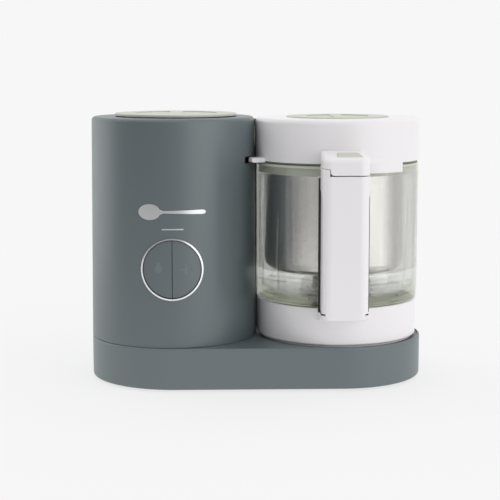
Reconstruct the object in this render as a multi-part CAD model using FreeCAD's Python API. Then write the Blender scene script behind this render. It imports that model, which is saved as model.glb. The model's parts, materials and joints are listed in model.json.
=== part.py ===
"""Countertop baby food maker: a round motor and boiler column beside a lidded glass blending jug, on one low base.

Millimetres. +Z is up and +X runs from the column to the jug. The jug's handle points along -Y, towards the user.
The origin is the centre of the base's footprint, on the table.
"""

import FreeCAD
import Part

import math
import os

V = FreeCAD.Vector
UP = V(0, 0, 1)
AWAY = V(0, 1, 0)
RIGHT = V(1, 0, 0)

# ---------------------------------------------------------------- driving dimensions
WALL = 2.6  # moulded housings
GAP = 0.3  # between parts that only face each other
RUNNING = 0.05  # radial clearance of a shaft in its bore

BASE_R = 72.0  # the base is two half circles joined by straight sides
BASE_SPAN = 68.0  # centre of each half circle, from the middle
BASE_BOTTOM = 2.0
BASE_TOP = 36.4
SEAT_DROP = 1.2  # the jug stands in a shallow round recess
SEAT_R = 70.3
DECK = BASE_TOP - SEAT_DROP
COVER_TOP = 4.4
FOOT_R = 9.0

COLUMN_X = -70.2
COLUMN_FOOT_R = 69.8
COLUMN_TOP_R = 68.2
COLUMN_FOOT = BASE_TOP + GAP
COLUMN_TOP = 221.2
COLUMN_EDGE = 3.2
COLUMN_MOUTH_R = 47.6

RING_Z = 100.8  # centre of the round two-way button
RING_R = 25.2
RING_INNER_R = 23.9
BUTTON_R = 23.2
BUTTON_SPLIT = 0.5
BUTTON_TRAVEL = 1.5

JUG_X = 68.3
JUG_BOTTOM = DECK + 0.2
COLLAR_R = 67.7
COLLAR_BOTTOM = 37.6
COLLAR_TOP = 67.8
GLASS_R = 68.6
GLASS_BOTTOM = 68.0
GLASS_TOP = 181.0
FLOOR = 75.5  # inside of the glass
BASKET_R = 59.3
BASKET_X = 65.9  # the steel cup hangs a little nearer the column than the glass around it
BASKET_BOTTOM = 92.2
FLANGE_R = 62.8  # the cup's flange, held in its band
BAND_R = 66.0  # the basket's plastic band, just inside the glass
BAND_BOTTOM = 174.5
BAND_TOP = 183.2

LID_R = 69.1
LID_BOTTOM = 185.3
LID_TOP = 220.4
LID_EDGE = 4.0
LID_WALL = 2.4
CAP_R = 43.0  # cap in the middle of the lid
CAP_STEM_R = 30.0

GRIP_X = 66.0  # middle of the handle's grip
GRIP_W = 38.0
GRIP_FRONT = -108.0
GRIP_BACK = -90.0
GRIP_CORNER = 8.0
GRIP_FOOT = 64.8
GRIP_TOP = 178.5
GRIP_WALL = 3.0
STRIP_HALF = 15.7  # the grip's front strip; its sides are sunk a little behind it
PANEL_DEPTH = 0.5
LINER_HALF = 20.2  # dark lining on the finger side
LINER_BACK = -86.0
SEAM_FOOT = 69.2  # the lining shows as a dark line under the grip's sides
SEAM = 1.2
LIP_R = 99.0  # from the jug's axis to the back of the hook's front lip
LIP_LEFT = 53.4
HOOK_HALF = 18.6
HOOK_TOP = 196.0  # at the lid; the top falls towards the front
HOOK_FALL = 0.095
HOOK_LIP = 179.3
HOOK_SEAT = 187.4  # underside of the hook close to the lid
HOOK_LEAN = 0.168  # fall of that underside towards the front
RELEASE_X = 69.0
RELEASE_Y = -89.8
GRIP_SCREWS = (96.0, 152.0)

TANK_R = 46.0
TANK_BOTTOM = 139.4
TANK_TOP = 214.0
TANK_LID_X = -67.8
TANK_LID_R = 51.0
TANK_LID_BOTTOM = 222.0
TANK_LID_TOP = 224.0
PLUG_R = 42.2

MOTOR_X = -74.0
MOTOR_Y = 10.0
MOTOR_R = 27.0
MOTOR_BOTTOM = 40.2
MOTOR_TOP = 104.0
MOTOR_DRUM_R = 12.0
OUTPUT_DRUM_R = 24.0
PULLEY_BOTTOM = 8.0
PULLEY_TOP = 18.0
SHAFT_R = 4.0

GLAND_X = -70.0
GLAND_Z = 17.0
CORD_HOLE_R = 3.4
COVER_SCREWS = [(-114, -44), (-114, 44), (0, -60), (0, 60), (114, -44), (114, 44)]


# ---------------------------------------------------------------- small helpers
def cyl(radius, z0, z1, x=0.0, y=0.0):
    """An upright cylinder between two heights."""
    return Part.makeCylinder(radius, z1 - z0, V(x, y, z0), UP)


def tube(outer, inner, z0, z1, x=0.0, y=0.0):
    return cyl(outer, z0, z1, x, y).cut(cyl(inner, z0 - 1, z1 + 1, x, y))


def rod(radius, start, end):
    """A cylinder from one point to another."""
    a = V(*start)
    b = V(*end)
    return Part.makeCylinder(radius, (b - a).Length, a, b - a)


def box(x0, x1, y0, y1, z0, z1):
    return Part.makeBox(x1 - x0, y1 - y0, z1 - z0, V(x0, y0, z0))


def pillar(x0, x1, y0, y1, z0, z1, radius):
    """An upright block with rounded vertical edges."""
    block = box(x0, x1, y0, y1, z0, z1)
    upright = [e for e in block.Edges if abs(e.tangentAt(e.FirstParameter).z) > 0.9]
    return block.makeFillet(radius, upright)


def turned(profile, x=0.0, y=0.0, start=0.0, sweep=360.0):
    """A closed outline of (radius, height) points, turned about an upright axis."""
    points = [V(x + r, y, z) for r, z in profile]
    face = Part.Face(Part.makePolygon(points + points[:1]))
    whole = face.revolve(V(x, y, 0), UP, sweep)
    whole.rotate(V(x, y, 0), UP, start)
    return whole


def fused(*shapes):
    whole = shapes[0].multiFuse(list(shapes[1:]))
    return whole.removeSplitter()


def stadium(radius, z0, z1):
    """The base's outline, at a chosen end radius."""
    block = box(-BASE_SPAN, BASE_SPAN, -radius, radius, z0, z1)
    ends = [cyl(radius, z0, z1, x) for x in (-BASE_SPAN, BASE_SPAN)]
    return fused(block, *ends)


def edges_at(shape, height, beyond):
    """The edges at one height that lie outside a radius of the shape's middle."""
    middle = shape.BoundBox.Center
    found = []
    for edge in shape.Edges:
        b = edge.BoundBox
        flat = abs(b.ZMin - height) < 0.01 and abs(b.ZMax - height) < 0.01
        reach = max(b.XMax - middle.x, middle.x - b.XMin, b.YMax - middle.y, middle.y - b.YMin)
        if flat and reach > beyond:
            found.append(edge)
    return found


def column_radius(z):
    share = (z - BASE_TOP) / (COLUMN_TOP - BASE_TOP)
    return COLUMN_FOOT_R + share * (COLUMN_TOP_R - COLUMN_FOOT_R)


def column_form(offset, z0, z1):
    """The tapered column, grown or shrunk by an offset, between two heights."""
    r0 = column_radius(z0) + offset
    r1 = column_radius(z1) + offset
    return Part.makeCone(r0, r1, z1 - z0, V(COLUMN_X, 0, z0), UP)


def at_jug(angle, radius, z):
    """A point round the jug's axis; the angle is in degrees from +X."""
    a = math.radians(angle)
    return V(JUG_X + radius * math.cos(a), radius * math.sin(a), z)


def sector(outer, inner, z0, z1, a0, a1, x=JUG_X):
    """Part of a ring round an upright axis, between two angles in degrees."""
    ring = Part.makeCylinder(outer, z1 - z0, V(x, 0, z0), UP, a1 - a0)
    ring.rotate(V(x, 0, z0), UP, a0)
    return ring.cut(cyl(inner, z0 - 1, z1 + 1, x))


def bored_discs(places, radius, z0, z1):
    return Part.makeCompound([cyl(radius, z0, z1, x, y) for x, y in places])


def dome(start, end, wide, narrow, wall=0.8):
    """A hollow silicone return dome, open at both ends, from one point to another."""
    a = V(*start)
    b = V(*end)
    outer = Part.makeCone(wide, narrow, (b - a).Length, a, b - a)
    inner = Part.makeCone(wide - wall, narrow - wall, (b - a).Length, a, b - a)
    return outer.cut(inner)


# ---------------------------------------------------------------- base
def base_shell():
    outer = stadium(BASE_R, BASE_BOTTOM, BASE_TOP)
    outer = outer.makeFillet(1.6, edges_at(outer, BASE_TOP, 0))
    outer = outer.makeFillet(2.2, edges_at(outer, BASE_BOTTOM, 0))
    inside = stadium(BASE_R - WALL, BASE_BOTTOM - 1, DECK - WALL)
    seat = cyl(SEAT_R, DECK, BASE_TOP + 1, JUG_X).cut(cyl(COLUMN_FOOT_R + 1, DECK - 1, BASE_TOP + 2, COLUMN_X))
    drive_hole = cyl(19.0, 0, BASE_TOP + 1, JUG_X)
    column_opening = cyl(55.0, DECK - WALL - 1, BASE_TOP + 1, COLUMN_X)
    gland_hole = rod(6.6, (GLAND_X, BASE_R - 8, GLAND_Z), (GLAND_X, BASE_R + 4, GLAND_Z))
    shell = outer.cut(inside).cut(seat).cut(drive_hole).cut(column_opening).cut(gland_hole)
    bosses = [cyl(4.2, COVER_TOP + 0.2, DECK - WALL + 0.5, x, y) for x, y in COVER_SCREWS]
    shell = fused(shell, *bosses)
    return shell.cut(bored_discs(COVER_SCREWS, 1.5, COVER_TOP - 1, 24))


def foot_places():
    return [(-100, -42), (-100, 42), (100, -42), (100, 42), (0, 0)]


def bottom_cover():
    plate = stadium(BASE_R - WALL - 0.25, BASE_BOTTOM, COVER_TOP)
    plate = plate.cut(bored_discs(foot_places(), FOOT_R + 0.1, BASE_BOTTOM - 1, BASE_BOTTOM + 0.8))
    plate = plate.cut(bored_discs(COVER_SCREWS, 1.7, 0, 6))
    plate = plate.cut(bored_discs(COVER_SCREWS, 3.4, 0, 3.2))
    slots = []
    for row in range(-4, 5):
        x = MOTOR_X + row * 7.0
        slots.append(pillar(x - 1.6, x + 1.6, -18, 18, 0, 6, 1.5))
    return plate.cut(Part.makeCompound(slots))


def rubber_feet():
    feet = []
    for x, y in foot_places():
        pad = cyl(FOOT_R, 0, BASE_BOTTOM + 0.8, x, y)
        feet.append(pad.makeFillet(0.8, [pad.Edges[2]]) if pad.Edges[2].BoundBox.ZMax < 0.1 else pad)
    return Part.makeCompound(feet)


def pan_screw(x, y, under_head, length, shank=1.4, head=3.1):
    """A screw driven upwards; the height is that of the face under its head."""
    body = fused(cyl(head, under_head - 1.0, under_head, x, y), cyl(shank, under_head, under_head + length, x, y))
    cross = fused(box(x - 1.8, x + 1.8, y - 0.3, y + 0.3, under_head - 1.1, under_head - 0.5),
                  box(x - 0.3, x + 0.3, y - 1.8, y + 1.8, under_head - 1.1, under_head - 0.5))
    return body.cut(cross)


def bottom_screws():
    return Part.makeCompound([pan_screw(x, y, 3.2, 16) for x, y in COVER_SCREWS])


def cord_gland():
    y0 = BASE_R - 6
    body = rod(6.4, (GLAND_X, y0, GLAND_Z), (GLAND_X, BASE_R + 2.4, GLAND_Z))
    lip = rod(8.4, (GLAND_X, BASE_R + 0.1, GLAND_Z), (GLAND_X, BASE_R + 2.4, GLAND_Z))
    bore = rod(CORD_HOLE_R, (GLAND_X, y0 - 1, GLAND_Z), (GLAND_X, BASE_R + 5, GLAND_Z))
    return fused(body, lip).cut(bore)


def terminal_block():
    block = box(-104, -84, 44, 54, COVER_TOP + 0.1, 16)
    holes = [cyl(1.6, 9, 20, -99 + 5 * i, 49) for i in range(3)]
    return block.cut(Part.makeCompound(holes))


# ---------------------------------------------------------------- drive under the jug
def pulley(x, y, drum):
    rim = 2.0
    cheek = 1.0
    body = fused(cyl(drum, PULLEY_BOTTOM, PULLEY_TOP, x, y),
                 cyl(drum + rim, PULLEY_BOTTOM, PULLEY_BOTTOM + cheek, x, y),
                 cyl(drum + rim, PULLEY_TOP - cheek, PULLEY_TOP, x, y))
    return body


def motor_pulley():
    return pulley(MOTOR_X, MOTOR_Y, MOTOR_DRUM_R).cut(cyl(3.0, 0, 30, MOTOR_X, MOTOR_Y))


def output_pulley():
    wheel = pulley(JUG_X, 0, OUTPUT_DRUM_R).cut(cyl(SHAFT_R, 0, 30, JUG_X))
    windows = []
    for i in range(5):
        a = math.radians(72 * i)
        windows.append(cyl(5.0, 0, 30, JUG_X + 14.5 * math.cos(a), 14.5 * math.sin(a)))
    return wheel.cut(Part.makeCompound(windows))


def belt_outline(grow, z0, z1):
    """The closed path of the belt round both drums, as a solid slab."""
    dx = JUG_X - MOTOR_X
    dy = -MOTOR_Y
    distance = math.hypot(dx, dy)
    heading = math.atan2(dy, dx)
    r0 = MOTOR_DRUM_R + grow
    r1 = OUTPUT_DRUM_R + grow
    lean = math.asin((r1 - r0) / distance)
    corners = []
    for side in (1, -1):
        a = heading + side * (math.pi / 2 + lean)
        near = V(MOTOR_X + r0 * math.cos(a), MOTOR_Y + r0 * math.sin(a), z0)
        far = V(JUG_X + r1 * math.cos(a), r1 * math.sin(a), z0)
        corners.append((near, far))
    (n0, f0), (n1, f1) = corners
    middle = Part.Face(Part.makePolygon([n0, f0, f1, n1, n0])).extrude(V(0, 0, z1 - z0))
    return fused(middle, cyl(r0, z0, z1, MOTOR_X, MOTOR_Y), cyl(r1, z0, z1, JUG_X))


def drive_belt():
    z0 = PULLEY_BOTTOM + 1.2
    z1 = PULLEY_TOP - 1.2
    return belt_outline(1.9, z0, z1).cut(belt_outline(0.2, z0 - 1, z1 + 1))


def spindle_housing():
    under = DECK - WALL
    body = fused(cyl(15.0, 20.0, 34.0, JUG_X), cyl(28.0, under - 2.6, under, JUG_X))
    holes = [(JUG_X + 23.5 * math.cos(a), 23.5 * math.sin(a)) for a in (0.5, 2.6, 4.7)]
    body = body.cut(cyl(11.0, 19, 36, JUG_X))
    return body.cut(bored_discs(holes, 1.8, 20, 36))


def spindle_bearings():
    return Part.makeCompound([tube(10.98, SHAFT_R + RUNNING, z, z + 5, JUG_X) for z in (20.5, 28.0)])


def output_spindle():
    return cyl(SHAFT_R, 6.2, 46.0, JUG_X)


def splined(radius, tooth, z0, z1, count=6):
    """A round boss with square teeth, for a dog coupling."""
    parts = [cyl(radius, z0, z1, JUG_X)]
    for i in range(count):
        block = box(JUG_X, JUG_X + radius + tooth, -tooth * 0.8, tooth * 0.8, z0, z1)
        block.rotate(V(JUG_X, 0, 0), UP, 360 / count * i)
        parts.append(block)
    return fused(*parts)


def drive_coupler():
    skirt = cyl(14.0, 35.4, 37.4, JUG_X)
    return fused(skirt, splined(7.6, 2.4, 37.4, 47.5)).cut(cyl(SHAFT_R, 30, 46.0, JUG_X))


# ---------------------------------------------------------------- column
def column_shell():
    outer = column_form(0, COLUMN_FOOT, COLUMN_TOP)
    outer = outer.makeFillet(COLUMN_EDGE, edges_at(outer, COLUMN_TOP, 60))
    outer = fused(outer, guide_rib())
    inside = column_form(-WALL, COLUMN_FOOT - 0.01, COLUMN_TOP - WALL)
    mouth = cyl(COLUMN_MOUTH_R, 200, 230, COLUMN_X)
    button_hole = rod(24.4, (COLUMN_X, -80, RING_Z), (COLUMN_X, -40, RING_Z))
    steam_hole = rod(9.1, (-20, 0, STEAM_Z), (5, 0, STEAM_Z))
    return outer.cut(inside).cut(mouth).cut(button_hole).cut(steam_hole).cut(sensor_block(7.4, 5.6, 55, 72))


def guide_rib():
    """Upright rib behind the gap between column and jug, that steers the jug onto its seat."""
    return pillar(-12.0, 1.4, 20.0, 24.0, COLUMN_FOOT, COLUMN_TOP - COLUMN_EDGE, 0.8)


SENSOR_ANGLE = -23.6  # from the column's axis, where the lid's tab points at the column
SENSOR_Z = 186.1
STEAM_Z = 204.0


def sensor_block(half_width, height, r0, r1):
    block = box(COLUMN_X + r0, COLUMN_X + r1, -half_width, half_width, SENSOR_Z - height / 2, SENSOR_Z + height / 2)
    block.rotate(V(COLUMN_X, 0, 0), UP, SENSOR_ANGLE)
    return block


def lid_sensor():
    return fused(sensor_block(7.2, 5.2, 56, 64.4), sensor_block(8.0, 12.0, 54, 60))


def chassis():
    """Moulded frame that carries the motor and holds the boiler over it."""
    plate = cyl(62.0, COLUMN_FOOT, COLUMN_FOOT + 3, COLUMN_X)
    plate = plate.cut(cyl(9.0, 30, 50, MOTOR_X, MOTOR_Y))
    vents = []
    for i in range(8):
        a = math.radians(45 * i + 22.5)
        vents.append(cyl(5.0, 30, 50, COLUMN_X + 47 * math.cos(a), 47 * math.sin(a)))
    plate = plate.cut(Part.makeCompound(vents))
    cradle = tube(50.0, 40.0, 135.8, TANK_BOTTOM - 0.2, COLUMN_X)
    posts = []
    for angle in (90, 210, 330):
        a = math.radians(angle)
        posts.append(cyl(4.0, COLUMN_FOOT + 1, 137, COLUMN_X + 45 * math.cos(a), 45 * math.sin(a)))
    return fused(plate, cradle, *posts)


def motor_can():
    can = tube(MOTOR_R, MOTOR_R - 1.2, MOTOR_BOTTOM, MOTOR_TOP, MOTOR_X, MOTOR_Y)
    floor = tube(MOTOR_R, 5.0, MOTOR_BOTTOM, MOTOR_BOTTOM + 1.2, MOTOR_X, MOTOR_Y)
    slots = []
    for i in range(6):
        slot = box(MOTOR_X, MOTOR_X + 40, MOTOR_Y - 4, MOTOR_Y + 4, 46, 56)
        slot.rotate(V(MOTOR_X, MOTOR_Y, 0), UP, 60 * i)
        slots.append(slot)
    return fused(can, floor).cut(Part.makeCompound(slots))


def stator_core():
    body = tube(MOTOR_R - 1.3, 17.2, 60, 92, MOTOR_X, MOTOR_Y)
    gaps = []
    for i in range(2):
        gap = box(MOTOR_X - 40, MOTOR_X + 40, MOTOR_Y - 5, MOTOR_Y + 5, 59, 93)
        gap.rotate(V(MOTOR_X, MOTOR_Y, 0), UP, 45 + 90 * i)
        gaps.append(gap.cut(cyl(22.5, 50, 100, MOTOR_X, MOTOR_Y).cut(cyl(12, 50, 100, MOTOR_X, MOTOR_Y))))
    return body.cut(cyl(22.5, 50, 100, MOTOR_X, MOTOR_Y).common(Part.makeCompound(gaps)))


def motor_end_cap():
    cap = cyl(MOTOR_R, MOTOR_TOP + 0.1, MOTOR_TOP + 5, MOTOR_X, MOTOR_Y)
    boss = cyl(8, MOTOR_TOP + 4, MOTOR_TOP + 10, MOTOR_X, MOTOR_Y)
    holders = [box(MOTOR_X + s * 15 - 6, MOTOR_X + s * 15 + 6, MOTOR_Y - 5, MOTOR_Y + 5, MOTOR_TOP + 4, MOTOR_TOP + 11)
               for s in (-1, 1)]
    return fused(cap, boss, *holders).cut(cyl(3.0 + RUNNING, 90, 140, MOTOR_X, MOTOR_Y))


def motor_rotor():
    shaft = cyl(3.0, 7.0, MOTOR_TOP + 12, MOTOR_X, MOTOR_Y)
    core = cyl(16.6, 60, 92, MOTOR_X, MOTOR_Y)
    commutator = cyl(9.0, 94, 103, MOTOR_X, MOTOR_Y)
    slots = []
    for i in range(12):
        a = math.radians(30 * i)
        slots.append(cyl(1.3, 59, 93, MOTOR_X + 15.9 * math.cos(a), MOTOR_Y + 15.9 * math.sin(a)))
    return fused(shaft, core.cut(Part.makeCompound(slots)), commutator)


def cooling_fan():
    hub = tube(7.0, 3.0, 45, 55, MOTOR_X, MOTOR_Y)
    blades = []
    for i in range(9):
        blade = box(MOTOR_X + 6, MOTOR_X + 22, MOTOR_Y - 0.6, MOTOR_Y + 0.6, 45, 55)
        blade.rotate(V(MOTOR_X, MOTOR_Y, 0), UP, 40 * i)
        blades.append(blade)
    return fused(hub, *blades)


# ---------------------------------------------------------------- boiler
def boiler_tank():
    wall = 1.0
    profile = [(0, TANK_BOTTOM), (TANK_R - 4, TANK_BOTTOM), (TANK_R, TANK_BOTTOM + 4), (TANK_R, TANK_TOP - wall),
               (TANK_R + 4.5, TANK_TOP - wall), (TANK_R + 4.5, TANK_TOP), (TANK_R - wall, TANK_TOP),
               (TANK_R - wall, TANK_BOTTOM + 4.4), (TANK_R - 4.4, TANK_BOTTOM + wall), (0, TANK_BOTTOM + wall)]
    tank = turned(profile, COLUMN_X)
    return tank.cut(rod(3.6, (COLUMN_X + 30, 0, STEAM_Z), (COLUMN_X + 60, 0, STEAM_Z)))


def tank_gasket():
    return tube(TANK_R + 4.5, TANK_R - 0.2, TANK_TOP + 0.1, COLUMN_TOP - WALL - 0.1, COLUMN_X)


def heater_plate():
    return turned([(0, 132), (36, 132), (38, 134), (38, TANK_BOTTOM), (0, TANK_BOTTOM)], COLUMN_X)


def heater_element():
    loop = Part.makeTorus(27, 3.6, V(COLUMN_X, 0, 128.2), UP, 0, 360, 300)
    loop.rotate(V(COLUMN_X, 0, 0), UP, 300)
    pins = []
    for angle in (300, 240):
        a = math.radians(angle)
        x = COLUMN_X + 27 * math.cos(a)
        y = 27 * math.sin(a)
        pins.append(cyl(1.4, 119, 128, x, y))
    return fused(loop, *pins)


def thermostats():
    return Part.makeCompound([fused(cyl(7.5, 125, 131.9, COLUMN_X + s * 9, 0), cyl(4.5, 121, 125, COLUMN_X + s * 9, 0))
                              for s in (-1, 1)])


def steam_pipe():
    start = (COLUMN_X + TANK_R - 3, 0, STEAM_Z)
    pipe = rod(5.0, start, (-11.0, 0, STEAM_Z)).cut(rod(3.6, (-40, 0, STEAM_Z), (5, 0, STEAM_Z)))
    return pipe.cut(cyl(TANK_R + 0.02, 190, 220, COLUMN_X))


def steam_outlet():
    """Soft nozzle that fills the hole in the column's wall and faces the lid."""
    back = rod(10.4, (-11.0, 0, STEAM_Z), (-6.4, 0, STEAM_Z))
    front = rod(9.0, (-6.4, 0, STEAM_Z), (-1.6, 0, STEAM_Z))
    whole = fused(back, front).cut(rod(3.6, (-20, 0, STEAM_Z), (5, 0, STEAM_Z)))
    return whole.cut(rod(6.0, (-3.4, 0, STEAM_Z), (5, 0, STEAM_Z)))


# ---------------------------------------------------------------- tank lid
def tank_lid_plug():
    """Cup that closes the boiler's mouth; the green grip turns in it."""
    z0 = 204.0
    r = PLUG_R
    return turned([(0, z0), (r, z0), (r, 207), (r - 1.4, 207), (r - 1.4, 211), (r, 211), (r, 221.7),
                   (r - 2.2, 221.7), (r - 2.2, z0 + 2.4), (4.6, z0 + 2.4), (4.6, 211), (3.1 + RUNNING, 211),
                   (3.1 + RUNNING, z0 + 1.2), (0, z0 + 1.2)], TANK_LID_X)


def tank_lid_seal():
    r = PLUG_R
    return turned([(r - 1.3, 207.1), (r, 207.1), (r + 0.3, 208), (r + 0.3, 210), (r, 210.9), (r - 1.3, 210.9)], TANK_LID_X)


def grip_dish(radius, depth, top, x, bar):
    """A shallow round dish with a bar left across it, for a thumb and finger."""
    dish = cyl(radius, top - depth, top + 5, x)
    return dish.cut(box(x - bar / 2, x + bar / 2, -60, 60, top - depth - 1, top + 6))


def tank_lid_grip():
    disc = cyl(TANK_LID_R, TANK_LID_BOTTOM, TANK_LID_TOP, TANK_LID_X)
    disc = disc.makeFillet(0.9, edges_at(disc, TANK_LID_TOP, 40))
    cup = cyl(PLUG_R - 2.8, 212.5, TANK_LID_BOTTOM + 1, TANK_LID_X)
    pin = cyl(3.1, 205.6, 213, TANK_LID_X)
    whole = fused(disc, cup, pin)
    return whole.cut(grip_dish(35.0, 0.7, TANK_LID_TOP, TANK_LID_X, 11.0))


# ---------------------------------------------------------------- buttons
def chrome_ring():
    hole = rod(RING_INNER_R, (COLUMN_X, -90, RING_Z), (COLUMN_X, -30, RING_Z))
    neck = rod(24.3, (COLUMN_X, -90, RING_Z), (COLUMN_X, -30, RING_Z))
    head = rod(RING_R, (COLUMN_X, -90, RING_Z), (COLUMN_X, -30, RING_Z))
    sleeve = neck.common(column_form(0.9, 60, 140).cut(column_form(-WALL, 59, 141)))
    flange = head.common(column_form(0.9, 60, 140).cut(column_form(0.05, 59, 141)))
    return fused(sleeve, flange).cut(hole)


def half_button(side):
    """One half of the round button: side is -1 for the left half and 1 for the right."""
    disc = rod(BUTTON_R, (COLUMN_X, -90, RING_Z), (COLUMN_X, -50, RING_Z))
    skin = disc.common(column_form(-0.2, 60, 140).cut(column_form(-3.0, 59, 141)))
    start = COLUMN_X + side * BUTTON_SPLIT / 2
    reach = start + side * 60
    half = skin.common(box(min(start, reach), max(start, reach), -90, -30, 50, 150))
    stem = rod(2.4, (COLUMN_X + side * 11, -66.2, RING_Z), (COLUMN_X + side * 11, -55.2, RING_Z))
    return fused(half, stem)


def button_domes():
    return Part.makeCompound([dome((COLUMN_X + s * 11, -56.05, RING_Z), (COLUMN_X + s * 11, -62.9, RING_Z), 6.2, 3.6)
                              for s in (-1, 1)])


def button_carrier():
    plate = rod(28.0, (COLUMN_X, -56.0, RING_Z), (COLUMN_X, -53.8, RING_Z))
    wall = rod(28.0, (COLUMN_X, -59.8, RING_Z), (COLUMN_X, -55.0, RING_Z))
    wall = wall.cut(rod(26.0, (COLUMN_X, -70, RING_Z), (COLUMN_X, -50, RING_Z)))
    ears = [box(COLUMN_X - 5, COLUMN_X + 5, -56, -53.8, z, z + 14) for z in (RING_Z - 38, RING_Z + 24)]
    stems = [rod(2.6, (COLUMN_X + s * 11, -70, RING_Z), (COLUMN_X + s * 11, -50, RING_Z)) for s in (-1, 1)]
    return fused(plate, wall, *ears).cut(Part.makeCompound(stems))


def control_board():
    board = box(COLUMN_X - 26, COLUMN_X + 26, -50.0, -48.4, 60, 132)
    holes = [rod(1.6, (COLUMN_X + x, -60, z), (COLUMN_X + x, -40, z)) for x in (-22, 22) for z in (64, 128)]
    return board.cut(Part.makeCompound(holes))


def micro_switches():
    made = []
    for s in (-1, 1):
        x = COLUMN_X + s * 11
        body = box(x - 4, x + 4, -53.0, -50.0, RING_Z - 4, RING_Z + 4)
        made.append(fused(body, rod(1.8, (x, -53.4, RING_Z), (x, -52.0, RING_Z))))
    return Part.makeCompound(made)


# ---------------------------------------------------------------- jug
def glass_bowl():
    profile = [(16.2, GLASS_BOTTOM), (GLASS_R - 3.0, GLASS_BOTTOM), (GLASS_R - 0.8, GLASS_BOTTOM + 0.9),
               (GLASS_R, GLASS_BOTTOM + 3.2), (GLASS_R, GLASS_TOP - 0.6), (GLASS_R - 0.6, GLASS_TOP),
               (66.9, GLASS_TOP), (66.4, GLASS_TOP - 0.6), (66.4, 160), (65.0, FLOOR + 9), (63.8, FLOOR + 4),
               (61.4, FLOOR + 1.2), (57.5, FLOOR), (16.2, FLOOR)]
    bowl = turned(profile, JUG_X)
    ribs = []
    for angle in (-163, -143, -37, -20, 20, 37, 143, 163):
        foot = at_jug(angle, 65.6, FLOOR + 3)
        ribs.append(Part.makeCone(2.8, 0.5, 74, foot, at_jug(angle + 2.5, 67.6, FLOOR + 77) - foot))
    return fused(bowl, *[rib.common(cyl(GLASS_R - 0.3, 60, 170, JUG_X)) for rib in ribs])


def jug_collar():
    ring = tube(COLLAR_R, COLLAR_R - 2.4, COLLAR_BOTTOM, COLLAR_TOP, JUG_X)
    ring = ring.makeFillet(0.9, edges_at(ring, COLLAR_BOTTOM, COLLAR_R - 1) + edges_at(ring, COLLAR_TOP, COLLAR_R - 1))
    plate = tube(COLLAR_R - 1, 26.0, COLLAR_TOP - 5.0, COLLAR_TOP - 2.0, JUG_X)
    foot = tube(62.4, 60.0, JUG_BOTTOM, COLLAR_TOP - 3, JUG_X)
    seam = tube(64.8, 61.5, JUG_BOTTOM, COLLAR_BOTTOM + 2, JUG_X)
    return fused(ring, plate, foot, seam, grip_web())


def pushed_across(side, half):
    """A side view of (y, z) points, given a width across the grip."""
    points = [V(GRIP_X - half, y, z) for y, z in side]
    return Part.Face(Part.makePolygon(points + points[:1])).extrude(V(2 * half, 0, 0))


def grip_form(z0, z1, inset=0.0, back=GRIP_BACK):
    """The grip's rounded section between two heights, shrunk by an inset."""
    half = GRIP_W / 2 - inset
    bar = box(GRIP_X - half, GRIP_X + half, GRIP_FRONT + inset, back, z0, z1)
    front = [e for e in bar.Edges if abs(e.BoundBox.ZLength - (z1 - z0)) < 0.01 and e.BoundBox.YMax < -100]
    return bar.makeFillet(GRIP_CORNER - inset, front)


def rounded_foot(form, radius):
    """Round the bottom edges of a grip form, all round its front."""
    low = [e for e in form.Edges if e.BoundBox.ZMax < GRIP_FOOT + 0.01 and e.BoundBox.YMin < GRIP_BACK - 1]
    return form.makeFillet(radius, low)


def front_strip(half, back):
    return box(GRIP_X - half, GRIP_X + half, GRIP_FRONT - 1, back, 50, 200)


def grip_web():
    """Web from the collar that carries the grip and closes its sides at the bottom."""
    side = [(-64.5, 58.6), (-64.5, 67.0), (-80, 68.2), (-88, SEAM_FOOT - 0.1), (-110, SEAM_FOOT - 0.1),
            (-110, GRIP_FOOT), (-100, GRIP_FOOT - 0.4)]
    plan = rounded_foot(grip_form(GRIP_FOOT, 100), 3.5)
    arm = fused(plan, grip_form(50, 100, 0.0, -60).common(box(0, 140, -98, -50, 50, 100)))
    web = pushed_across(side, 30).common(arm).cut(front_strip(STRIP_HALF + 0.1, -103.4))
    tongue = pushed_across([(-92, 66), (-92, 88), (-102, 88), (-102, 66)], GRIP_W / 2 - GRIP_WALL - 1.0)
    return fused(web, tongue).cut(cyl(COLLAR_R - 2.6, 30, 100, JUG_X))


def hook_underside(radius):
    """Height of the hook's underside at a distance from the jug's axis."""
    return HOOK_SEAT - HOOK_LEAN * max(0.0, radius - 90)


def above_cone(lift, inner, floor=None):
    """Everything over the hook's underside, moved by a lift, beyond an inner radius."""
    top = 240 if floor is None else floor
    return turned([(inner, hook_underside(inner) + lift), (90, HOOK_SEAT + lift), (130, hook_underside(130) + lift),
                   (130, top), (inner, top)], JUG_X)


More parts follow.
